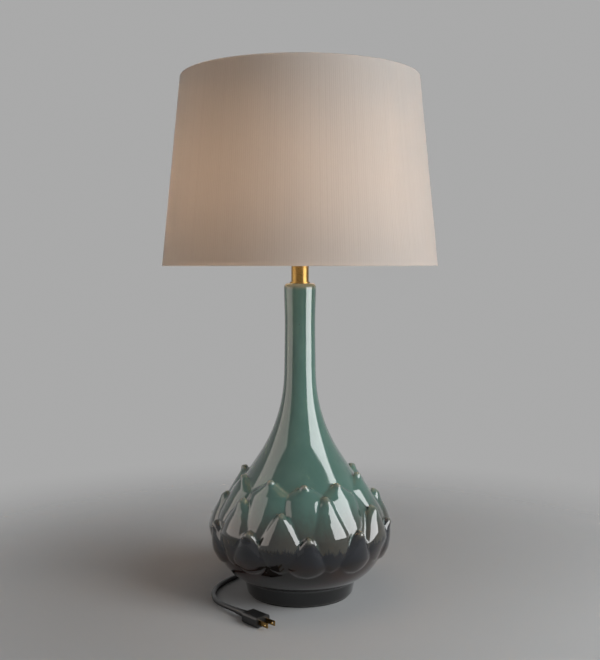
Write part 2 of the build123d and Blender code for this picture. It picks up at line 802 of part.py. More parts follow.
coil_low = CORD_R + COIL_LIFT
coil_high = coil_low + 2 * CORD_R + COIL_GAP
coil_pitch = 2 * CORD_R + COIL_GAP
coil_y = COIL_START[1] + 2 * CORD_R


def coil_radius(half_turn):
    """Radius of one half turn: the spiral winds in, then out again."""
    middle = COIL_HALF_TURNS // 2
    return COIL_OUTER_R - coil_pitch / 2 * (middle - abs(half_turn - middle))


def coil_path():
    """Spiral in on the table, a climbing half turn, and spiral out on top."""
    middle = COIL_HALF_TURNS // 2
    x = COIL_START[0]
    edges = [Line((x, COIL_START[1], coil_low), (x, coil_y, coil_low))]
    for half_turn in range(COIL_HALF_TURNS):
        heading = 1 if half_turn % 2 == 0 else -1
        radius = coil_radius(half_turn)
        far_x = x - heading * 2 * radius
        foot = coil_low if half_turn <= middle else coil_high
        top = coil_low if half_turn < middle else coil_high
        start = Vector(x, coil_y, foot)
        end = Vector(far_x, coil_y, top)
        reach = (end - start).length / 2
        crest = (start + end) * 0.5 + Vector(0, heading * reach, 0)
        edges.append(TangentArc(start, crest, tangent=(0, heading, 0)))
        edges.append(TangentArc(crest, end, tangent=edges[-1] % 1))
        x = far_x
    edges.append(Line((x, coil_y, coil_high), (x, COIL_START[1], coil_high)))
    return Wire(edges)


def least_self_gap(path, diameter):
    """Smallest clear distance of a wound tube from itself, on points along it."""
    count = int(path.length / 2)
    spots = [path @ (step / count) for step in range(count + 1)]
    apart = int(3 * diameter / 2)
    least = min(
        (spots[b] - spots[a]).length
        for a in range(len(spots))
        for b in range(a + apart, len(spots))
    )
    return least - diameter


coil = coil_path()
coil_end = coil @ 1

lead_points = [
    (0.0, GLAND_TIP, GLAND_Z),
    (0.0, 128.0, GLAND_Z),
    (0.0, 152.0, coil_low),
    (COIL_START[0], COIL_START[1], coil_low),
]
PLUG_AXIS = Vector(0.684, -0.729, 0.0).normalized()
PLUG_ENTRY = Vector(-88.0, -104.0, PLUG_H / 2)
last_run = PLUG_ENTRY - PLUG_AXIS * 20.0
tail_points = [
    (coil_end.X, coil_end.Y, coil_end.Z),
    (coil_end.X, 148.0, coil_end.Z),
    (-100.0, 114.0, 4.0),
    (-92.0, 81.0, CORD_R),
    (-97.0, 53.0, CORD_R),
    (-113.0, 29.0, CORD_R),
    (-125.0, 0.0, CORD_R),
    (-127.0, -32.0, CORD_R),
    (-118.0, -64.0, 4.5),
    (last_run.X, last_run.Y, last_run.Z),
    (PLUG_ENTRY.X, PLUG_ENTRY.Y, PLUG_ENTRY.Z),
]


def cord_run(name, points):
    path = rounded_path(points)
    solid = wire_tube(path, CORD_R)
    print(f"{name}: radii", [round(radius, 1) for radius in corner_radii(points)])
    report_tube(name, solid, path, CORD_R)
    return solid


def cord_coil():
    solid = wire_tube(coil, CORD_R)
    print(f"cord_coil: least gap to itself {least_self_gap(coil, 2 * CORD_R):.2f}")
    report_tube("cord_coil", solid, coil, CORD_R)
    return solid


def cord_tie():
    """Band round the coil at its far side."""
    inner_turn = coil_radius(COIL_HALF_TURNS // 2 - 1)
    middle_x = coil_end.X + COIL_OUTER_R + coil_pitch / 2
    half_turn_shift = TIE_W / 2 + coil_pitch / 2
    sag = inner_turn - math.sqrt(inner_turn ** 2 - half_turn_shift ** 2)
    near = coil_y + inner_turn - CORD_R - sag - TIE_SIDE_ROOM
    far = coil_y + COIL_OUTER_R + CORD_R + TIE_SIDE_ROOM
    low = coil_low - CORD_R - TIE_ROOM
    high = coil_high + CORD_R + TIE_ROOM
    middle = Pos((near + far) / 2, (low + high) / 2)
    inside = RectangleRounded(far - near, high - low, CORD_R / 2)
    outside = RectangleRounded(far - near + 2 * TIE_T, high - low + 2 * TIE_T, CORD_R / 2 + TIE_T)
    band = middle * (outside - inside)
    return Pos(middle_x, 0, 0) * extrude(Plane.YZ * band, amount=TIE_W / 2, both=True)


plug_place = Plane(PLUG_ENTRY, x_dir=PLUG_AXIS, z_dir=(0, 0, 1))


def plug_relief():
    cone = Cone(PLUG_RELIEF_TIP_R, PLUG_RELIEF_R, PLUG_RELIEF_L)
    return plug_place * Pos(PLUG_RELIEF_L / 2, 0, 0) * Rot(0, 90, 0) * cone


def plug_body():
    block = Box(PLUG_L, PLUG_W, PLUG_H)
    block = fillet(block.edges().filter_by(Axis.X), PLUG_ROUND)
    return plug_place * Pos(PLUG_RELIEF_L + PLUG_L / 2, 0, 0) * block


def plug_blades():
    blade = Box(BLADE_L, BLADE_T, BLADE_H)
    hole = Rot(90, 0, 0) * Cylinder(BLADE_HOLE_R, 2 * BLADE_T)
    blade -= Pos(BLADE_L / 2 - BLADE_HOLE_IN, 0, 0) * hole
    start = PLUG_RELIEF_L + PLUG_L + BLADE_L / 2
    blades = [plug_place * Pos(start, side * BLADE_PITCH / 2, 0) * blade for side in (-1, 1)]
    return Compound(children=blades)


parts = {
    "ceramic_body": ceramic_body(),
    "felt_pad": felt_pad(),
    "bottom_washer": bottom_washer(),
    "bottom_nut": hex_nut(BOTTOM_NUT_FLATS, nut_foot, BOTTOM_NUT_T),
    "lamp_pipe": lamp_pipe(),
    "neck_ring": neck_ring(),
    "brass_neck": brass_neck(),
    "neck_nut": hex_nut(NECK_NUT_FLATS, neck_top, NECK_NUT_T),
    "harp_saddle": harp_saddle(),
    "harp_bow": harp_bow(),
    "harp_sleeve_left": harp_sleeve(-1),
    "harp_sleeve_right": harp_sleeve(1),
    "harp_stud": harp_stud(),
    "finial": finial(),
    "socket_cap": socket_cap(),
    "socket_shell": socket_shell(),
    "socket_liner": socket_liner(),
    "socket_core": socket_core(),
    "terminal_screws": terminal_screws(),
    "screw_shell": screw_shell(),
    "centre_contact": centre_contact(),
    "switch_shaft": switch_shaft(),
    "switch_knob": switch_knob(),
    "bulb_contact": bulb_contact(),
    "bulb_insulator": bulb_insulator(),
    "bulb_base": bulb_base(),
    "bulb_glass": bulb_glass(),
    "bulb_stem": bulb_stem(),
    "bulb_filament": bulb_filament(),
    "shade_fabric": shade_fabric(),
    "shade_liner": shade_liner(),
    "shade_top_ring": shade_ring(top_wire),
    "shade_bottom_ring": shade_ring(bottom_wire),
    "spider_hub": spider_hub(),
    "spider_arms": spider_arms(),
    "cord_gland": cord_gland(),
    "cord_entry": cord_entry(),
    "lead_line": inner_lead(1),
    "lead_neutral": inner_lead(-1),
    "cord_lead": cord_run("cord_lead", lead_points),
    "cord_coil": cord_coil(),
    "cord_tail": cord_run("cord_tail", tail_points),
    "cord_tie": cord_tie(),
    "plug_relief": plug_relief(),
    "plug_body": plug_body(),
    "plug_blades": plug_blades(),
}

os.makedirs("parts", exist_ok=True)
for name, solid in parts.items():
    export_step(solid, f"parts/{name}.step")
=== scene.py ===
import math
import random

import bmesh
import bpy
import numpy as np
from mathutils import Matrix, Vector

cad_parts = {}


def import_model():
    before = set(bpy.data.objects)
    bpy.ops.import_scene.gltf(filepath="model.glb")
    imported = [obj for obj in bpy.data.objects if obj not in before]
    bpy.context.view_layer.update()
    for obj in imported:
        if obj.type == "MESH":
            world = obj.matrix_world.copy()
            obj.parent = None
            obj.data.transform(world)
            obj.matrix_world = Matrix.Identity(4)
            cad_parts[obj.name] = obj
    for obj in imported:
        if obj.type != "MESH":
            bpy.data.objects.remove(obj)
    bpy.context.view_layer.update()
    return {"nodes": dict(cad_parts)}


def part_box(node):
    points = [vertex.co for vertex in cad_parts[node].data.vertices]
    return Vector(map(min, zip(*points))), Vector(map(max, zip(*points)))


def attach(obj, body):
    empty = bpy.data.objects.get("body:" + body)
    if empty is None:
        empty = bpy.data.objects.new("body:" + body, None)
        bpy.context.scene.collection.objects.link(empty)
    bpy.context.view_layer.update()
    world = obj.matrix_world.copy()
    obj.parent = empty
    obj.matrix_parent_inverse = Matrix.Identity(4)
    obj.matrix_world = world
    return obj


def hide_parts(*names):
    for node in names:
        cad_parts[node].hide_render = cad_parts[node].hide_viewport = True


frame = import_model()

# Table lamp with a glazed ceramic bottle of petals. Metres, front towards -Y.

MM = 0.001

# Camera of the photograph: level, its horizon above the middle of the frame
PHOTO_HEIGHT = 660
FOCAL_PX = 960
HORIZON_PX = 265
EYE_DISTANCE = 1.430
EYE_HEIGHT = 0.484
SENSOR_MM = 36.0

# Ceramic body, as the solid is turned, with its joins eased and its neck a little waisted and flared
NECK_R = 23.6 * MM
LIP_ROUND = 4.5 * MM
FLARE_R = 220 * MM
SHOULDER = math.radians(36)
BELLY_R = 127 * MM
BELLY_Z = 89 * MM
BELLY_ARC = 70 * MM
FOOT_CREASE_R = 83 * MM
FOOT_R = 78.5 * MM
FOOT_ROUND = 2 * MM
EASE = 20 * MM
EASE_STEPS = 4
WAIST_Z = 395 * MM
WAIST_IN = 0.7 * MM
NECK_FLARE = 1.3 * MM
BODY_ROWS = 170
BODY_SIDES = 180
foot_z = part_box("felt_pad")[1].z
body_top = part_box("ceramic_body")[1].z


def new_object(name, mesh):
    obj = bpy.data.objects.new(name, mesh)
    bpy.context.scene.collection.objects.link(obj)
    return obj


def mesh_from(name, verts, faces):
    mesh = bpy.data.meshes.new(name)
    mesh.from_pydata([tuple(v) for v in verts], [], [tuple(f) for f in faces])
    mesh.update()
    return mesh


def shade_smooth(obj):
    for polygon in obj.data.polygons:
        polygon.use_smooth = True


def applied(obj):
    """Replace an object's mesh by what its modifiers make of it."""
    graph = bpy.context.evaluated_depsgraph_get()
    mesh = bpy.data.meshes.new_from_object(obj.evaluated_get(graph))
    obj.modifiers.clear()
    obj.data = mesh


def dress(obj, material):
    obj.data.materials.clear()
    obj.data.materials.append(material)


def smooth_step(x):
    """Ease from 0 to 1, for a number or an array."""
    x = np.clip(x, 0, 1)
    return x * x * (3 - 2 * x)


# Node helpers. The colour mix node has its factor, two colours and result at these sockets
MIX_FACTOR = 0
MIX_FIRST = 6
MIX_SECOND = 7
MIX_RESULT = 2


class Tree:
    """Short names for building one material's nodes."""

    def __init__(self, name):
        self.material = bpy.data.materials.new(name)
        self.material.use_nodes = True
        self.tree = self.material.node_tree
        self.shader = self.tree.nodes["Principled BSDF"]
        self.output = self.tree.nodes["Material Output"]

    def node(self, kind, **values):
        made = self.tree.nodes.new(kind)
        for key, value in values.items():
            setattr(made, key, value)
        return made

    def link(self, start, end):
        self.tree.links.new(start, end)

    def feed(self, value, socket):
        """Give a socket a number, a colour as three numbers, or what another socket gives."""
        if isinstance(value, (int, float)):
            socket.default_value = value
        elif isinstance(value, tuple):
            socket.default_value = (*value, 1.0)
        else:
            self.link(value, socket)

    def set(self, **values):
        for key, value in values.items():
            self.shader.inputs[key.replace("_", " ")].default_value = value

    def place(self, scale=(1, 1, 1)):
        """Object coordinates, stretched."""
        coords = self.node("ShaderNodeTexCoord")
        mapping = self.node("ShaderNodeMapping")
        mapping.inputs["Scale"].default_value = scale
        self.link(coords.outputs["Object"], mapping.inputs["Vector"])
        return mapping.outputs["Vector"]

    def noise(self, vector, scale, detail=2.0, roughness=0.5):
        made = self.node("ShaderNodeTexNoise")
        made.inputs["Scale"].default_value = scale
        made.inputs["Detail"].default_value = detail
        made.inputs["Roughness"].default_value = roughness
        self.link(vector, made.inputs["Vector"])
        return made.outputs["Fac"]

    def math(self, kind, a, b=None, c=None):
        made = self.node("ShaderNodeMath", operation=kind)
        for socket, value in zip(made.inputs, (a, b, c)):
            if value is not None:
                self.feed(value, socket)
        return made.outputs[0]

    def spread(self, value, low, high, out_low=0.0, out_high=1.0):
        """Map a value from one range to another, smoothly and clamped."""
        made = self.node("ShaderNodeMapRange", interpolation_type="SMOOTHSTEP")
        made.inputs["From Min"].default_value = low
        made.inputs["From Max"].default_value = high
        made.inputs["To Min"].default_value = out_low
        made.inputs["To Max"].default_value = out_high
        self.link(value, made.inputs["Value"])
        return made.outputs["Result"]

    def mix(self, amount, first, second):
        """Mix two colours; each is a colour socket or three numbers."""
        made = self.node("ShaderNodeMix", data_type="RGBA")
        self.feed(amount, made.inputs[MIX_FACTOR])
        self.feed(first, made.inputs[MIX_FIRST])
        self.feed(second, made.inputs[MIX_SECOND])
        return made.outputs[MIX_RESULT]

    def attribute(self, name):
        made = self.node("ShaderNodeAttribute", attribute_name=name)
        return made.outputs["Fac"]

    def height(self):
        """Height above the table."""
        coords = self.node("ShaderNodeTexCoord")
        split = self.node("ShaderNodeSeparateXYZ")
        self.link(coords.outputs["Object"], split.inputs[0])
        return split.outputs["Z"]

    def colour(self, socket):
        self.link(socket, self.shader.inputs["Base Color"])

    def roughness(self, socket):
        self.link(socket, self.shader.inputs["Roughness"])

    def bump(self, height, strength, distance):
        made = self.node("ShaderNodeBump")
        made.inputs["Strength"].default_value = strength
        made.inputs["Distance"].default_value = distance
        self.link(height, made.inputs["Height"])
        self.link(made.outputs["Normal"], self.shader.inputs["Normal"])

    def mix_in(self, share, other):
        """Make the surface by this share another shader."""
        made = self.node("ShaderNodeMixShader")
        self.feed(share, made.inputs[0])
        self.link(self.shader.outputs[0], made.inputs[1])
        self.link(other.outputs[0], made.inputs[2])
        self.link(made.outputs[0], self.output.inputs["Surface"])

    def let_through(self, share, colour):
        """Let this share of the light through, tinted."""
        glow = self.node("ShaderNodeBsdfTranslucent")
        self.link(colour, glow.inputs["Color"])
        self.mix_in(share, glow)


# Materials

# Colours of the glaze
CELADON = (0.080, 0.198, 0.160)
CELADON_PALE = (0.103, 0.231, 0.191)
GREY_BROWN = (0.066, 0.062, 0.048)
BLUE_BLACK = (0.006, 0.009, 0.016)
BROWN_BLACK = (0.011, 0.007, 0.005)
OXBLOOD = (0.040, 0.013, 0.008)
# Rim colours: the glaze breaking thin on raised edges, and partly a painted highlight along them
CREAM_RIM = (0.35, 0.36, 0.28)
DARK_RIM = (0.115, 0.100, 0.074)
OLIVE_RIM = (0.19, 0.175, 0.115)
PALE_LIP = (0.25, 0.28, 0.20)
FOOT_BLACK = (0.006, 0.006, 0.006)
POOLED = (0.085, 0.190, 0.172)
# Painted shade in the hollows behind the petals' hooked tips
TIP_HOLLOW_PAINTED_SHADE = (0.075, 0.060, 0.034)
SPECK = (0.035, 0.040, 0.030)

# Heights over which the glaze goes from one tone to the next, and how unevenly it ran down
FOOT_Z = (24 * MM, 48 * MM)
BLOOD_Z = (70 * MM, 84 * MM)
DARK_EDGE_Z = (90 * MM, 98 * MM)
DARK_ROW_RISE = 28 * MM
TONED_Z = (104 * MM, 160 * MM)
POOLED_Z = (92 * MM, 104 * MM)
PALE_RIM_Z = (88 * MM, 132 * MM)
LIP_Z = (446 * MM, 456 * MM)
WANDER_RUN = 22 * MM
STREAK_RUN = 20 * MM
HAIR_RUN = 20 * MM

# Dark specks in the glaze, by the cell, and the share of its finer peel
SPECK_CELLS = 95
SPECK_STRENGTH = 0.5
PEEL_SHARE = 0.35


def glaze_material():
    """Celadon glaze that runs through grey brown into blue black, and breaks pale on the rims, their pale
    colour partly a painted highlight; behind the petals' tips it has a painted brown shade.
    """
    t = Tree("glaze")
    height = t.height()
    in_hollow = t.attribute("hollow")
    at_tip = t.attribute("tip")
    hair = t.noise(t.place((1, 1, 0.07)), scale=420, detail=2.0, roughness=0.6)
    streak = t.noise(t.place((1, 1, 0.14)), scale=130, detail=3.0, roughness=0.6)
    wander = t.noise(t.place(), scale=11, detail=1.0)
    cloud = t.noise(t.place((1, 1, 0.6)), scale=30, detail=3.0)
    level = t.math("MULTIPLY_ADD", t.math("SUBTRACT", wander, 0.5), WANDER_RUN, height)
    level = t.math("MULTIPLY_ADD", t.math("SUBTRACT", streak, 0.5), STREAK_RUN, level)
    fine = t.math("MULTIPLY_ADD", t.math("SUBTRACT", hair, 0.5), HAIR_RUN, level)
    fine = t.math("MULTIPLY_ADD", t.attribute("apron"), -DARK_ROW_RISE, fine)
    celadon = t.mix(t.spread(cloud, low=0.35, high=0.7), CELADON, CELADON_PALE)
    toned = t.mix(t.spread(level, *TONED_Z), GREY_BROWN, celadon)
    patch = t.noise(t.place(), scale=16, detail=2.0)
    blood = t.mix(t.spread(patch, low=0.45, high=0.68), BROWN_BLACK, OXBLOOD)
    below = t.mix(t.spread(level, *BLOOD_Z), blood, BLUE_BLACK)
    foot = t.mix(t.spread(height, *FOOT_Z), FOOT_BLACK, below)
    body = t.mix(t.spread(fine, *DARK_EDGE_Z), foot, toned)
    pool = t.math("MULTIPLY", in_hollow, t.spread(height, *POOLED_Z, out_high=0.6))
    body = t.mix(pool, body, POOLED)
    # Painted brown shade in the hollows behind the tips
    painted_shade_behind_tips = t.math("MULTIPLY", in_hollow, t.spread(at_tip, low=0.05, high=0.5, out_high=0.9))
    body = t.mix(painted_shade_behind_tips, body, TIP_HOLLOW_PAINTED_SHADE)
    # Pale rims, cream near the tips: partly the glaze breaking thin on raised edges, partly a painted
    # highlight
    pale_rim_and_highlight = t.mix(t.spread(at_tip, low=0.1, high=0.7), OLIVE_RIM, CREAM_RIM)
    rim_and_highlight_colour = t.mix(t.spread(level, *PALE_RIM_Z), DARK_RIM, pale_rim_and_highlight)
    broken = t.spread(streak, low=0.2, high=0.6, out_low=0.6)
    rim = t.math("MULTIPLY", t.attribute("rim"), broken)
    rim = t.math("MULTIPLY", rim, t.spread(at_tip, low=0.0, high=0.8, out_low=0.45))
    body = t.mix(rim, body, rim_and_highlight_colour)
    worn = t.spread(streak, low=0.3, high=0.6, out_low=0.5)
    body = t.mix(t.math("MULTIPLY", t.spread(height, *LIP_Z), worn), body, PALE_LIP)
    cells = t.node("ShaderNodeTexVoronoi")
    cells.inputs["Scale"].default_value = SPECK_CELLS
    t.link(t.place(), cells.inputs["Vector"])
    near = t.spread(cells.outputs["Distance"], low=0.10, high=0.06)
    speck = t.math("MULTIPLY", near, SPECK_STRENGTH)
    split = t.node("ShaderNodeSeparateColor")
    t.link(cells.outputs["Color"], split.inputs[0])
    few = t.spread(split.outputs[0], low=0.86, high=0.90)
    body = t.mix(t.math("MULTIPLY", speck, few), body, SPECK)
    t.colour(body)
    dull = t.noise(t.place(), scale=55, detail=2.0)
    t.roughness(t.spread(dull, low=0.3, high=0.8, out_low=0.06, out_high=0.12))
    t.set(IOR=1.5, Coat_Weight=0.80, Coat_Roughness=0.03, Coat_IOR=1.5)
    ripple = t.noise(t.place((1, 1, 0.5)), scale=38, detail=1.0)
    peel = t.math("MULTIPLY_ADD", t.noise(t.place(), scale=120, detail=2.0), PEEL_SHARE, ripple)
    t.bump(peel, strength=0.15, distance=1.0 * MM)
    return t.material


def brass_material(name, base, dull, grain):
    """Satin brass: fine turned lines and a little tarnish."""
    t = Tree(name)
    lines = t.noise(t.place(grain), scale=500, detail=2.0)
    cloud = t.noise(t.place(), scale=40, detail=3.0)
    t.colour(t.mix(t.spread(cloud, low=0.35, high=0.75), base, dull))
    t.roughness(t.spread(lines, low=0.3, high=0.7, out_low=0.20, out_high=0.34))
    t.set(Metallic=1.0)
    t.bump(lines, strength=0.10, distance=0.15 * MM)
    return t.material


SMOOTHER = 0.85
ROUGHER = 1.2


def plain_material(name, base, other, rough, metallic=0.0):
    """A base colour that drifts a little, with fine unevenness."""
    t = Tree(name)
    cloud = t.noise(t.place(), scale=60, detail=3.0)
    t.colour(t.mix(t.spread(cloud, low=0.3, high=0.75), base, other))
    smooth, dull = rough * SMOOTHER, min(rough * ROUGHER, 1.0)
    t.roughness(t.spread(cloud, low=0.3, high=0.75, out_low=smooth, out_high=dull))
    t.set(Metallic=metallic)
    t.bump(t.noise(t.place(), scale=720, detail=2.0), strength=0.08, distance=0.2 * MM)
    return t.material


def felt_material():
    """Black felt with a short nap."""
    t = Tree("felt")
    fuzz = t.noise(t.place(), scale=900, detail=4.0, roughness=0.7)
    t.colour(t.mix(fuzz, (0.012, 0.012, 0.012), (0.035, 0.035, 0.035)))
    t.set(Roughness=0.95, Sheen_Weight=0.4)
    t.bump(fuzz, strength=0.8, distance=0.5 * MM)
    return t.material


# How much the grooves, the slubs and the clouds of the cloth darken it, the grooves' darkening being a
# painted shade along the ribs, and the weft's share of its bump
GROOVE_PAINTED_SHADE = 0.48
SLUB_SHADE = 0.45
CLOUD_SHADE = 0.15
WEFT_SHARE = 0.4
WEFT_SCALE = 260
WEFT_WAVER = 0.6


def cloth_material(name, pale, weave_tone_and_groove_shade, through):
    """Ribbed off-white cloth that lets some of the bulb's light through."""
    t = Tree(name)
    slub = t.noise(t.place((1, 1, 0.04)), scale=700, detail=3.0, roughness=0.65)
    weft = t.node("ShaderNodeTexWave", wave_type="BANDS", bands_direction="Z")
    weft.inputs["Scale"].default_value = WEFT_SCALE
    weft.inputs["Distortion"].default_value = WEFT_WAVER
    t.link(t.place(), weft.inputs["Vector"])
    cloud = t.noise(t.place(), scale=14, detail=2.0)
    # Slubs and clouds are the cloth's own uneven tone; the grooves add a painted shade along the ribs
    shade = t.math("MULTIPLY", slub, SLUB_SHADE)
    shade = t.math("MULTIPLY_ADD", t.attribute("groove"), GROOVE_PAINTED_SHADE, shade)
    shade = t.math("MULTIPLY_ADD", cloud, CLOUD_SHADE, shade)
    woven = t.mix(shade, pale, weave_tone_and_groove_shade)
    t.colour(woven)
    t.set(Roughness=0.92, Sheen_Weight=0.15)
    thread = t.math("MULTIPLY_ADD", weft.outputs["Fac"], WEFT_SHARE, slub)
    t.bump(thread, strength=0.25, distance=0.25 * MM)
    t.let_through(through, woven)
    return t.material


FILM_THROUGH = 0.75


def film_material():
    """White styrene liner, translucent."""
    t = Tree("shade_film")
    milky = t.mix(t.noise(t.place(), scale=20, detail=2.0), (0.93, 0.92, 0.90), (0.89, 0.88, 0.86))
    t.colour(milky)
    t.set(Roughness=0.6)
    t.let_through(FILM_THROUGH, milky)
    return t.material


def bulb_glass_material():
    """Frosted glass, lit from inside."""
    t = Tree("bulb_glass")
    frost = t.noise(t.place(), scale=300, detail=2.0)
    t.colour(t.mix(frost, (0.92, 0.90, 0.86), (0.86, 0.84, 0.80)))
    t.set(Roughness=0.45, Emission_Color=(1.0, 0.80, 0.56, 1.0), Emission_Strength=0.75)
    return t.material


glaze = glaze_material()
brass = brass_material("brass", (0.33, 0.205, 0.066), (0.24, 0.145, 0.043), grain=(1, 1, 8))
brass_wire = brass_material("brass_wire", (0.66, 0.45, 0.18), (0.54, 0.35, 0.13), grain=(1, 1, 1))
steel = plain_material("steel", (0.58, 0.58, 0.58), (0.48, 0.48, 0.49), rough=0.30, metallic=1.0)
aluminium = plain_material("aluminium", (0.74, 0.74, 0.73), (0.66, 0.66, 0.66), rough=0.28, metallic=1.0)
bakelite = plain_material("bakelite", (0.016, 0.015, 0.014), (0.026, 0.024, 0.022), rough=0.35)
card = plain_material("card", (0.36, 0.27, 0.17), (0.30, 0.22, 0.13), rough=0.85)
wire_jacket = plain_material("wire_jacket", (0.05, 0.05, 0.05), (0.08, 0.08, 0.08), rough=0.45)
cord_jacket = plain_material("cord_jacket", (0.011, 0.011, 0.011), (0.018, 0.018, 0.018), rough=0.38)
tie_jacket = plain_material("tie_jacket", (0.020, 0.020, 0.020), (0.030, 0.030, 0.030), rough=0.60)
felt = felt_material()
cloth = cloth_material("shade_cloth", (0.74, 0.725, 0.71), (0.63, 0.61, 0.595), through=0.36)
cloth_back = cloth_material("shade_cloth_back", (0.90, 0.89, 0.87), (0.86, 0.85, 0.83), through=0.85)
film = film_material()
frosted = bulb_glass_material()

NODE_MATERIAL = {
    brass: ["neck_ring", "brass_neck", "finial", "harp_stud", "socket_cap", "socket_shell",
            "screw_shell", "centre_contact", "plug_blades", "switch_shaft"],
    brass_wire: ["harp_bow", "harp_saddle", "harp_sleeve_left", "harp_sleeve_right"],
    steel: ["bottom_washer", "bottom_nut", "lamp_pipe", "neck_nut", "shade_top_ring",
            "shade_bottom_ring", "spider_hub", "spider_arms", "terminal_screws"],
    aluminium: ["bulb_contact", "bulb_base", "bulb_filament"],
    bakelite: ["socket_core", "switch_knob", "bulb_insulator"],
    card: ["socket_liner"],
    frosted: ["bulb_glass", "bulb_stem"],
    film: ["shade_liner"],
    felt: ["felt_pad"],
    wire_jacket: ["lead_line", "lead_neutral"],
    cord_jacket: ["cord_gland", "cord_entry", "plug_relief", "plug_body"],
    tie_jacket: ["cord_tie"],
}
for material, names in NODE_MATERIAL.items():
    for node_name in names:
        dress(frame["nodes"][node_name], material)


# Ceramic body

belly_x = BELLY_R - BELLY_ARC
shoulder_r = belly_x + BELLY_ARC * math.cos(SHOULDER)
shoulder_z = BELLY_Z + BELLY_ARC * math.sin(SHOULDER)
flare_start_r = NECK_R + FLARE_R * (1 - math.cos(SHOULDER))
flare_start_z = shoulder_z + (shoulder_r - flare_start_r) / math.tan(SHOULDER)
flare_z = flare_start_z + FLARE_R * math.sin(SHOULDER)
crease_z = BELLY_Z - math.sqrt(BELLY_ARC ** 2 - (FOOT_CREASE_R - belly_x) ** 2)


def body_r(z):
    """Radius of the bare body above the foot."""
    if z <= shoulder_z:
        return belly_x + math.sqrt(max(BELLY_ARC ** 2 - (z - BELLY_Z) ** 2, 0))
    if z <= flare_start_z:
        return shoulder_r - (z - shoulder_z) * math.tan(SHOULDER)
    if z <= flare_z:
        return NECK_R + FLARE_R - math.sqrt(FLARE_R ** 2 - (flare_z - z) ** 2)
    return NECK_R


def eased_r(z):
    """Radius of the bare body with the joins between its arcs eased above the belly."""
    reach = EASE * smooth_step((z - BELLY_Z) / EASE)
    spots = [body_r(z + reach * step / EASE_STEPS) for step in range(-EASE_STEPS, EASE_STEPS + 1)]
    waist = WAIST_IN * smooth_step((z - flare_z) / (WAIST_Z - flare_z))
    spread = NECK_FLARE * smooth_step((z - WAIST_Z) / (body_top - WAIST_Z))
    return sum(spots) / len(spots) - waist + spread


def arc(middle, radius, start, end, steps):
    """Points of an arc in the (radius, height) plane, angles in degrees."""
    points = []
    for step in range(steps + 1):
        angle = math.radians(start + (end - start) * step / steps)
        points.append((middle[0] + radius * math.cos(angle), middle[1] + radius * math.sin(angle)))
    return points


def body_outline():
    """Half outline of the bare body, from the middle of the foot to the middle of the lip."""
    outline = [(0.0, foot_z)]
    outline += arc((FOOT_R - FOOT_ROUND, foot_z + FOOT_ROUND), FOOT_ROUND, -90, 0, steps=6)
    for row in range(BODY_ROWS + 1):
        z = crease_z + (body_top - LIP_ROUND - crease_z) * row / BODY_ROWS
        outline.append((eased_r(z), z))
    outline += arc((NECK_R - LIP_ROUND, body_top - LIP_ROUND), LIP_ROUND, 10, 90, steps=8)
    outline.append((0.0, body_top))
    return outline


def turned(outline, sides):
    """Verts and faces of an outline turned about Z, its ends on the axis."""
    verts = [(0.0, 0.0, outline[0][1])]
    faces = []
    rings = outline[1:-1]
    for radius, z in rings:
        for side in range(sides):
            angle = 2 * math.pi * side / sides
            verts.append((radius * math.cos(angle), radius * math.sin(angle), z))
    verts.append((0.0, 0.0, outline[-1][1]))
    last = len(verts) - 1
    for side in range(sides):
        after = (side + 1) % sides
        faces.append((0, 1 + after, 1 + side))
        top = 1 + (len(rings) - 1) * sides
        faces.append((last, top + side, top + after))
        for ring in range(len(rings) - 1):
            low = 1 + ring * sides
            faces.append((low + side, low + after, low + sides + after, low + sides + side))
    return verts, faces


# Petals: how many, how finely each is divided, how its edges meet the body and how it is rounded
PETALS = 10
PETAL_STEP = 2 * math.pi / PETALS
PETAL_PHASE = math.radians(4.5)
PETAL_ACROSS = 28
PETAL_ALONG = 48
TIP_CROWDING = 1.4
EDGE_CROWDING = 1.5
TIP_T = 9.0 * MM
TIP_EDGE_SHARE = 0.45
BITE = 3.0 * MM
EDGE_SINK = 1 * MM
LEAST_HALF = 1.2 * MM
CROWN_SHARE = 0.74
EDGE_ROLL = 5.0
LEAN_POWER = 3
FOLLOW = 0.8

# How a petal's outline rounds off at the foot and flows into its tip; where in its upper part the tip
# hooks outwards and rounds off, and how late it stands off the body
FOOT_POWER = 2.2
JOIN_POWER = 3
HOOK_FROM = 0.62
HOOK_SPAN = 0.32
NOSE = 4.0 * MM
NOSE_FROM = 0.86
NOSE_SPAN = 0.14
STAND_POWER = 1.8

# How much one petal differs from the next
PETAL_SEED = 7
THICK_VARIES = (0.92, 1.08)
HALF_VARIES = (0.96, 1.04)
CURL_VARIES = (0.7, 1.3)
LEAN_VARIES = (-2.0, 2.0)

# Where the glaze breaks pale on the rims, partly as a painted highlight, where it pools, where a painted
# shade lies behind the tips and where it turns dark, by how far the surface stands proud or lies back, and
# how softly the petals and the body run together
RELIEF_ROUNDS = 30
EVEN_ROUNDS = 3
RIM_FROM = 0.25 * MM
RIM_SPAN = 1.05 * MM
HOLLOW_FROM = 0.15 * MM
HOLLOW_SPAN = 0.70 * MM
TIP_REACH = 15 * MM
APRON_EDGE = 4 * MM
VOXEL = 1.3 * MM
FLOW_SHARE = 0.5
FLOW_ROUNDS = 7

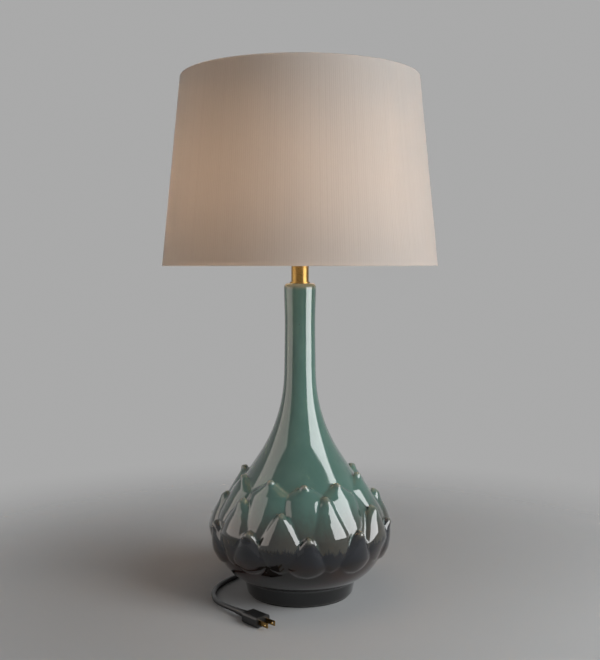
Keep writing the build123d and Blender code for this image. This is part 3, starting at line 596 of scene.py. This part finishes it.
# Each row: foot, widest height, where it leaves the body, tip, step at the foot, thickness, stand-off of
# the tip, drop from the face to the edges, half width and outward curl of the tip, in mm; the bow and
# bluntness of its outline, the share of its upper part that the shoulders take, the half width of its
# finger-like tip in mm, and how soon it swells; then how far each tip stands above the row, in mm, and
# how far it swings to the right, in degrees, from the front on round to the right
ROWS = [
    dict(foot=104, widest=160, leave=168, tip=181, lip=1.5, thick=9.5, stand=12.5, drop=8.4, half=34.0,
         curl=3.0, bow=1.10, blunt=0.85, shoulder=0.80, finger=12.0, swell=0.8, stagger=0.0,
         lift=(-4, -5, 0, 2, -2, 1, 0, 2, -1, 0), swing=(1, -5, 0, 1, -1, 0, 1, 0, 0, 2.5)),
    dict(foot=63, widest=104, leave=138, tip=155, lip=1.5, thick=9.3, stand=13.0, drop=8.4, half=34.0,
         curl=3.0, bow=1.15, blunt=0.68, shoulder=1.0, finger=6.0, swell=1.6, stagger=0.5,
         lift=(7, -14, -4, 3, -3, 4, 2, -4, 0, -12), swing=(-2.5, 2, 0, 1, 0, -1, 0, 1, 1.5, 0.5)),
    dict(foot=56, widest=73, leave=103, tip=116, lip=2.5, thick=7.6, stand=10.5, drop=6.5, half=29.0,
         curl=3.0, bow=1.05, blunt=0.62, shoulder=1.0, finger=6.0, swell=0.5, stagger=0.0,
         lift=(-2, 0, 0, 3, -2, 1, 3, -2, 1, 1), swing=(0, -2, 0, 1, 0, -1, 0, 1, 0, -3)),
]
DARK_ROW = 2


def petal_list():
    """Every petal of the body: its row's sizes, a little varied, and where it stands."""
    dice = random.Random(PETAL_SEED)
    petals = []
    for number, row in enumerate(ROWS):
        for place in range(PETALS):
            lift = row["lift"][place]
            turn = (place + row["stagger"]) * PETAL_STEP + math.radians(row["swing"][place])
            petal = dict(row, number=number)
            petal["foot"] = row["foot"] * MM
            petal["widest"] = (row["widest"] + FOLLOW * lift) * MM
            petal["leave"] = (row["leave"] + FOLLOW * lift) * MM
            petal["tip"] = (row["tip"] + lift) * MM
            petal["thick"] = row["thick"] * MM * dice.uniform(*THICK_VARIES)
            petal["half"] = row["half"] * MM * dice.uniform(*HALF_VARIES)
            for size in ("stand", "lip", "drop", "finger"):
                petal[size] = row[size] * MM
            petal["curl"] = row["curl"] * MM * dice.uniform(*CURL_VARIES)
            petal["middle"] = PETAL_PHASE - math.pi / 2 + turn
            petal["lean"] = math.radians(dice.uniform(*LEAN_VARIES))
            petals.append(petal)
    return petals


def petal_shares(petal, z):
    """How far a height is from the foot to the widest place, and from there to the tip."""
    low = np.clip((z - petal["foot"]) / (petal["widest"] - petal["foot"]), 0, 1)
    high = np.clip((z - petal["widest"]) / (petal["tip"] - petal["widest"]), 0, 1)
    return low, high


def petal_width(petal, z):
    """Half width of a petal at a height: its broad part and its finger-like tip, run together."""
    low, high = petal_shares(petal, z)
    fall = np.clip(high / petal["shoulder"], 0, 1) ** petal["bow"]
    broad = petal["half"] * np.sqrt(1 - (1 - low) ** FOOT_POWER) * (1 - fall) ** petal["blunt"]
    finger = petal["finger"] * np.sqrt(1 - high ** 2) * low
    return (broad ** JOIN_POWER + finger ** JOIN_POWER) ** (1 / JOIN_POWER)


def petal_proud(petal, z):
    """How far the middle of a petal stands proud of the bare body at a height."""
    low, high = petal_shares(petal, z)
    hook = petal["curl"] * smooth_step((high - HOOK_FROM) / HOOK_SPAN)
    nose = NOSE * max((high - NOSE_FROM) / NOSE_SPAN, 0.0) ** 2
    swelling = petal["lip"] + (petal["thick"] - petal["lip"]) * low ** petal["swell"]
    return swelling + (petal["stand"] - petal["thick"]) * high ** STAND_POWER + hook - nose


def petal_grid(petal):
    """Front and back sheets of one petal, joined round its edge."""
    across, along = PETAL_ACROSS, PETAL_ALONG
    leave, tip = petal["leave"], petal["tip"]
    back_end = body_r(tip) + petal["stand"] + petal["curl"] - TIP_T
    front, back = [], []
    for step in range(along + 1):
        v = 1 - (1 - step / along) ** TIP_CROWDING
        z = petal["foot"] + (tip - petal["foot"]) * v
        face_r = body_r(z) + petal_proud(petal, z)
        free = max((z - leave) / (tip - leave), 0.0)
        back_r = body_r(min(z, leave)) - BITE
        back_r += (back_end - back_r) * free
        sunk_r = body_r(z) - EDGE_SINK
        edge_r = max(face_r - petal["drop"], sunk_r, back_r + TIP_EDGE_SHARE * TIP_T * free)
        edge_r = min(edge_r, face_r)
        width = max(petal_width(petal, z), LEAST_HALF)
        for column in range(across + 1):
            t = 2 * column / across - 1
            u = math.copysign(1 - (1 - abs(t)) ** EDGE_CROWDING, t)
            turn = petal["middle"] + u * width / face_r + petal["lean"] * v ** LEAN_POWER
            roll = CROWN_SHARE * u * u + (1 - CROWN_SHARE) * abs(u) ** EDGE_ROLL
            out_r = face_r - (face_r - edge_r) * roll
            front.append((out_r * math.cos(turn), out_r * math.sin(turn), z))
            back.append((back_r * math.cos(turn), back_r * math.sin(turn), z))
    faces = []
    wide = across + 1
    count = len(front)
    for step in range(along):
        for column in range(across):
            a = step * wide + column
            faces.append((a, a + 1, a + 1 + wide, a + wide))
            b = a + count
            faces.append((b, b + wide, b + 1 + wide, b + 1))
    for step in range(along):
        for column, flip in ((0, False), (across, True)):
            a = step * wide + column
            quad = (a, a + wide, a + wide + count, a + count)
            faces.append(quad[::-1] if flip else quad)
    for step, flip in ((0, True), (along, False)):
        for column in range(across):
            a = step * wide + column
            quad = (a, a + 1, a + 1 + count, a + count)
            faces.append(quad[::-1] if flip else quad)
    return front + back, faces


def outward(verts, faces, name):
    """A mesh whose closed pieces all face outwards."""
    mesh = mesh_from(name, verts, faces)
    work = bmesh.new()
    work.from_mesh(mesh)
    bmesh.ops.recalc_face_normals(work, faces=work.faces)
    work.to_mesh(mesh)
    work.free()
    return mesh


def joined(name, shapes):
    """One mesh of several shapes, each of verts and faces."""
    verts, faces = [], []
    for some_verts, some_faces in shapes:
        start = len(verts)
        verts += some_verts
        faces += [tuple(start + i for i in face) for face in some_faces]
    return outward(verts, faces, name)


def evened(edges, values, rounds):
    """Each vertex's values after several rounds of going halfway to the mean of its neighbours."""
    degree = np.bincount(edges.ravel(), minlength=len(values)).astype(float)
    for _ in range(rounds):
        total = np.zeros_like(values)
        for axis in range(values.shape[1]):
            total[:, axis] = np.bincount(edges[:, 0], values[edges[:, 1], axis], len(values))
            total[:, axis] += np.bincount(edges[:, 1], values[edges[:, 0], axis], len(values))
        values = 0.5 * values + 0.5 * (total / degree[:, None])
    return values


def mesh_values(elements, name, width, kind=float):
    """An array of one property of a mesh's vertices or edges."""
    values = np.zeros(len(elements) * width, dtype=kind)
    elements.foreach_get(name, values)
    return values.reshape(-1, width)


def add_layer(mesh, name, values):
    """Store a number for each vertex, for the material to read."""
    layer = mesh.attributes.new(name, "FLOAT", "POINT")
    layer.data.foreach_set("value", np.asarray(values, dtype=np.float32))


def add_marks(obj, petals):
    """Store where the surface is a rim, a hollow, a petal's tip or a petal of the dark row."""
    mesh = obj.data
    co = mesh_values(mesh.vertices, "co", 3)
    normal = mesh_values(mesh.vertices, "normal", 3)
    edges = mesh_values(mesh.edges, "vertices", 2, np.int64)
    proud = ((co - evened(edges, co, RELIEF_ROUNDS)) * normal).sum(axis=1)[:, None]
    proud = evened(edges, proud, EVEN_ROUNDS)[:, 0]
    angle = np.arctan2(co[:, 1], co[:, 0])
    radius = np.hypot(co[:, 0], co[:, 1])
    tip_mark = np.zeros(len(co))
    apron = np.zeros(len(co))
    for petal in petals:
        middle = petal["middle"] + petal["lean"]
        tip_r = body_r(petal["tip"]) + petal["stand"] + petal["curl"] - NOSE
        place = np.array((tip_r * math.cos(middle), tip_r * math.sin(middle), petal["tip"]))
        reach = np.linalg.norm(co - place, axis=1)
        tip_mark = np.maximum(tip_mark, smooth_step(1 - reach / TIP_REACH))
        if petal["number"] == DARK_ROW:
            off = np.abs((angle - petal["middle"] + math.pi) % (2 * math.pi) - math.pi) * radius
            inside = petal_width(petal, co[:, 2]) - off
            apron = np.maximum(apron, smooth_step(inside / APRON_EDGE))
    add_layer(mesh, "rim", np.clip((proud - RIM_FROM) / RIM_SPAN, 0, 1))
    add_layer(mesh, "hollow", np.clip((-proud - HOLLOW_FROM) / HOLLOW_SPAN, 0, 1))
    add_layer(mesh, "tip", tip_mark)
    add_layer(mesh, "apron", apron)


def ceramic():
    """Body and petals as one glazed piece, with soft lines where they meet."""
    petals = petal_list()
    shapes = [turned(body_outline(), BODY_SIDES)]
    shapes += [petal_grid(petal) for petal in petals]
    obj = new_object("ceramic", joined("ceramic", shapes))
    remesh = obj.modifiers.new("union", "REMESH")
    remesh.mode = "VOXEL"
    remesh.voxel_size = VOXEL
    soften = obj.modifiers.new("glaze_flow", "SMOOTH")
    soften.factor = FLOW_SHARE
    soften.iterations = FLOW_ROUNDS
    applied(obj)
    shade_smooth(obj)
    add_marks(obj, petals)
    dress(obj, glaze)
    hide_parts("ceramic_body")
    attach(obj, "base")


ceramic()


# Shade cloth

RIBS = 400
RIB_SIDES = 4
RIB_DEPTH = 0.12 * MM
RIB_SEED = 3
RIB_VARIES = (0.5, 1.1)
# Share of the painted shade in the rib grooves on the hems and on the ribbed cloth
HEM_GROOVE_PAINTED_SHADE = 0.35
CLOTH_GROOVE_PAINTED_SHADE = 0.65
ROLL_R = 2.5 * MM
HEM_ROUND = 0.9 * MM
HEM_INSIDE = 1.6 * MM
HEM_OUTSIDE = 1.8 * MM
CLOTH_T = 0.6 * MM
CLOTH_ROWS = 24
shade_low, shade_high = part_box("shade_fabric")
SHADE_BOTTOM_R = shade_high.x
SHADE_TOP_R = 177.8 * MM


def shade_section():
    """Outside of the cloth from the hem's inner edge, round the bottom wire, up and over the top wire.

    Each point has its radius, its height and how much of the ribs shows there.
    """
    bottom = (SHADE_BOTTOM_R - ROLL_R, shade_low.z + ROLL_R)
    top = (SHADE_TOP_R - ROLL_R, shade_high.z - ROLL_R)
    points = [(bottom[0] - ROLL_R, shade_low.z + HEM_INSIDE, 0.0)]
    for side, start in ((-1, 180), (1, 270)):
        corner = (bottom[0] + side * (ROLL_R - HEM_ROUND), shade_low.z + HEM_ROUND)
        points += [(r, z, 0.0) for r, z in arc(corner, HEM_ROUND, start, start + 90, steps=5)]
    points.append((SHADE_BOTTOM_R, shade_low.z + HEM_OUTSIDE, 0.0))
    for row in range(1, CLOTH_ROWS):
        share = row / CLOTH_ROWS
        ribbed = smooth_step(share * CLOTH_ROWS / 2) * smooth_step((1 - share) * CLOTH_ROWS / 2)
        points.append((
            SHADE_BOTTOM_R + (SHADE_TOP_R - SHADE_BOTTOM_R) * share,
            bottom[1] + (top[1] - bottom[1]) * share,
            ribbed,
        ))
    points += [(r, z, 0.0) for r, z in arc(top, ROLL_R, 0, 180, steps=14)]
    return points


def shade_cloth():
    """Ribbed cloth with thickness, turned round both wires."""
    section = shade_section()
    sides = RIBS * RIB_SIDES
    verts, groove_painted_shade = [], []
    dice = random.Random(RIB_SEED)
    weight = [dice.uniform(*RIB_VARIES) for _ in range(RIBS)]
    for radius, z, ribbed in section:
        for side in range(sides):
            angle = 2 * math.pi * side / sides
            groove = 0.5 - 0.5 * math.cos(2 * math.pi * side / RIB_SIDES)
            depth = RIB_DEPTH * groove * ribbed * weight[side // RIB_SIDES]
            out = radius - depth
            verts.append((out * math.cos(angle), out * math.sin(angle), z))
            # Painted shade along each rib's groove, stored for the cloth's colour
            groove_painted_shade.append(groove * weight[side // RIB_SIDES] * (HEM_GROOVE_PAINTED_SHADE + CLOTH_GROOVE_PAINTED_SHADE * ribbed))
    faces = []
    for ring in range(len(section) - 1):
        low = ring * sides
        for side in range(sides):
            after = (side + 1) % sides
            faces.append((low + side, low + after, low + sides + after, low + sides + side))
    mesh = mesh_from("shade_cloth", verts, faces)
    add_layer(mesh, "groove", groove_painted_shade)
    obj = new_object("shade_cloth", mesh)
    thicken = obj.modifiers.new("thickness", "SOLIDIFY")
    thicken.thickness = CLOTH_T
    thicken.offset = -1
    thicken.material_offset = 1
    dress(obj, cloth)
    obj.data.materials.append(cloth_back)
    applied(obj)
    shade_smooth(obj)
    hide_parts("shade_fabric")
    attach(obj, "shade")
    return obj


lamp_cloth = shade_cloth()


# Cord

CORD_R = 3.5 * MM
CORD_STEPS = 6
CORD_ROUNDNESS = 5
COIL_TURN_GAP = 7.5 * MM
COIL_LOW = 4.4 * MM
COIL_HIGH = 11.9 * MM
COIL_OUTER_R = 48.75 * MM
COIL_HALF_TURNS = 11
COIL_Y = 175 * MM
COIL_ENTRY_Y = 168 * MM
COIL_STEPS = 12
GLAND_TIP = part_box("cord_gland")[1].y
GLAND_GRIP = 6 * MM
GLAND_Z = 13 * MM
PLUG_ENTRY = Vector((-88.0, -104.0, 7.0)) * MM
PLUG_AXIS = Vector((0.684, -0.729, 0.0)).normalized()
PLUG_RUN = 20 * MM


def coil_points():
    """Spiral in on the table, climb in the middle half turn, spiral out on top."""
    middle = COIL_HALF_TURNS // 2
    x = 0.0
    points = []
    for half in range(COIL_HALF_TURNS):
        heading = 1 if half % 2 == 0 else -1
        radius = COIL_OUTER_R - COIL_TURN_GAP / 2 * (middle - abs(half - middle))
        centre = x - heading * radius
        for step in range(COIL_STEPS):
            share = step / COIL_STEPS
            angle = math.pi * share
            if half < middle:
                z = COIL_LOW
            elif half == middle:
                z = COIL_LOW + (COIL_HIGH - COIL_LOW) * smooth_step(share)
            else:
                z = COIL_HIGH
            points.append((
                centre + heading * radius * math.cos(angle),
                COIL_Y + heading * radius * math.sin(angle),
                z,
            ))
        x = centre - heading * radius
    points.append((x, COIL_Y, COIL_HIGH))
    return points


lead_route = [
    (0.0, GLAND_TIP - GLAND_GRIP, GLAND_Z),
    (0.0, GLAND_TIP, GLAND_Z),
    (0.0, 128 * MM, GLAND_Z),
    (0.0, 152 * MM, COIL_LOW),
    (0.0, COIL_ENTRY_Y, COIL_LOW),
]
last_run = PLUG_ENTRY - PLUG_AXIS * PLUG_RUN
coil_exit_x = coil_points()[-1][0]
tail_route = [
    (coil_exit_x, COIL_ENTRY_Y, COIL_HIGH),
    (coil_exit_x, 148 * MM, COIL_HIGH),
    (-100 * MM, 114 * MM, 4.0 * MM),
    (-92 * MM, 81 * MM, CORD_R),
    (-97 * MM, 53 * MM, CORD_R),
    (-113 * MM, 29 * MM, CORD_R),
    (-125 * MM, 0.0, CORD_R),
    (-127 * MM, -32 * MM, CORD_R),
    (-118 * MM, -64 * MM, 4.5 * MM),
    tuple(last_run),
    tuple(PLUG_ENTRY),
]


def cord():
    """Mains lead from the gland through its coil to the plug."""
    route = lead_route + coil_points() + tail_route
    curve = bpy.data.curves.new("cord", "CURVE")
    curve.dimensions = "3D"
    spline = curve.splines.new("NURBS")
    spline.points.add(len(route) - 1)
    for point, place in zip(spline.points, route):
        point.co = (*place, 1.0)
    spline.order_u = 3
    spline.use_endpoint_u = True
    spline.resolution_u = CORD_STEPS
    curve.bevel_depth = CORD_R
    curve.bevel_resolution = CORD_ROUNDNESS
    curve.use_fill_caps = True
    obj = new_object("cord", curve)
    obj.data.materials.append(cord_jacket)
    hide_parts("cord_lead", "cord_coil", "cord_tail")
    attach(obj, "base")


cord()


# Camera, light and floor

def camera():
    """Level camera in front of the lamp."""
    data = bpy.data.cameras.new("camera")
    data.sensor_width = SENSOR_MM
    data.lens = FOCAL_PX / PHOTO_HEIGHT * SENSOR_MM
    data.shift_y = (HORIZON_PX - PHOTO_HEIGHT / 2) / PHOTO_HEIGHT
    obj = new_object("camera", data)
    obj.location = (0, -EYE_DISTANCE, EYE_HEIGHT)
    obj.rotation_euler = (math.pi / 2, 0, 0)
    bpy.context.scene.camera = obj


SOFTBOX_DISTANCE = 1.35
SOFTBOX_Z = 0.78
AIM_Z = 0.55


def softbox(name, azimuth, size, power, colour, gloss):
    """Area light at an azimuth to the right of the front, facing the lamp: seen in gloss, or lighting."""
    data = bpy.data.lights.new(name, "AREA")
    data.shape = "RECTANGLE"
    data.size, data.size_y = size
    data.energy = power
    data.color = colour
    obj = new_object(name, data)
    turn = math.radians(azimuth)
    obj.location = (SOFTBOX_DISTANCE * math.sin(turn), -SOFTBOX_DISTANCE * math.cos(turn), SOFTBOX_Z)
    aim = Vector((0, 0, AIM_Z)) - obj.location
    obj.rotation_euler = aim.to_track_quat("-Z", "Y").to_euler()
    obj.visible_glossy = gloss
    obj.visible_diffuse = not gloss
    data.cycles.use_multiple_importance_sampling = gloss


BACKGROUND = (0.40, 0.40, 0.40)
FILL = (0.80, 0.80, 0.80)
FILL_STRENGTH = 0.10
FLOOR_GREY = (0.68, 0.68, 0.68)
FLOOR_PALE = (0.72, 0.72, 0.72)
FLOOR_NEAR = 0.22
FLOOR_FAR = 1.0


def floor():
    """Pale floor that fades into the background."""
    t = Tree("floor")
    t.colour(t.mix(t.noise(t.place(), scale=3, detail=2.0), FLOOR_GREY, FLOOR_PALE))
    t.set(Roughness=0.8)
    coords = t.node("ShaderNodeTexCoord")
    reach = t.node("ShaderNodeVectorMath", operation="LENGTH")
    t.link(coords.outputs["Object"], reach.inputs[0])
    clear = t.node("ShaderNodeBsdfTransparent")
    t.mix_in(t.spread(reach.outputs["Value"], FLOOR_NEAR, FLOOR_FAR), clear)
    size = FLOOR_FAR
    verts = [(-size, -size, 0), (size, -size, 0), (size, size, 0), (-size, size, 0)]
    obj = new_object("floor", mesh_from("floor", verts, [(0, 1, 2, 3)]))
    dress(obj, t.material)


def world():
    """Even grey fill; the camera, mirrors and glass see the pale background."""
    made = bpy.data.worlds.new("studio")
    bpy.context.scene.world = made
    made.use_nodes = True
    tree = made.node_tree
    fill = tree.nodes["Background"]
    fill.inputs["Color"].default_value = (*FILL, 1)
    fill.inputs["Strength"].default_value = FILL_STRENGTH
    seen = tree.nodes.new("ShaderNodeBackground")
    seen.inputs["Color"].default_value = (*BACKGROUND, 1)
    path = tree.nodes.new("ShaderNodeLightPath")
    eye = path.outputs["Is Camera Ray"]
    for ray in ("Is Glossy Ray", "Is Transmission Ray"):
        either = tree.nodes.new("ShaderNodeMath")
        either.operation = "MAXIMUM"
        tree.links.new(eye, either.inputs[0])
        tree.links.new(path.outputs[ray], either.inputs[1])
        eye = either.outputs[0]
    both = tree.nodes.new("ShaderNodeMixShader")
    tree.links.new(eye, both.inputs[0])
    tree.links.new(fill.outputs[0], both.inputs[1])
    tree.links.new(seen.outputs[0], both.inputs[2])
    tree.links.new(both.outputs[0], tree.nodes["World Output"].inputs["Surface"])


BULB_POWER = 3.1
BULB_COLOUR = (1.0, 0.66, 0.43)
BULB_HALO = 4 * MM
BULB_LOWER = 8 * MM
SHADE_RINGS = ["shade_top_ring", "shade_bottom_ring"]
LIT_BY_BULB = SHADE_RINGS + ["shade_liner", "spider_hub", "spider_arms", "finial", "harp_stud", "harp_bow"]


def bulb_light(lit_cloth):
    """Warm light of the lit bulb, which stays inside the shade and glows through the hems."""
    data = bpy.data.lights.new("bulb_light", "POINT")
    data.energy = BULB_POWER
    data.use_soft_falloff = False
    data.color = BULB_COLOUR
    low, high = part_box("bulb_glass")
    globe_r = (high.x - low.x) / 2
    data.shadow_soft_size = globe_r + BULB_HALO
    obj = new_object("bulb_light", data)
    obj.location = (0, 0, high.z - globe_r - BULB_LOWER)
    lit = bpy.data.collections.new("lit_by_bulb")
    lit.objects.link(lit_cloth)
    for node_name in LIT_BY_BULB:
        lit.objects.link(frame["nodes"][node_name])
    obj.light_linking.receiver_collection = lit
    for node_name in SHADE_RINGS:
        frame["nodes"][node_name].visible_shadow = False


camera()
softbox("key_right", azimuth=60, size=(0.90, 1.40), power=14.5, colour=(0.94, 0.98, 1.0), gloss=False)
softbox("fill_left", azimuth=-80, size=(1.20, 1.40), power=0.8, colour=(1.0, 0.88, 0.82), gloss=False)
softbox("strip_right", azimuth=68, size=(1.20, 1.24), power=27.5, colour=(0.98, 0.99, 1.0), gloss=True)
softbox("strip_left", azimuth=-82, size=(1.40, 1.24), power=7.5, colour=(1.0, 0.90, 0.83), gloss=True)
bulb_light(lamp_cloth)
floor()
world()
bpy.context.scene.view_settings.view_transform = "Standard"
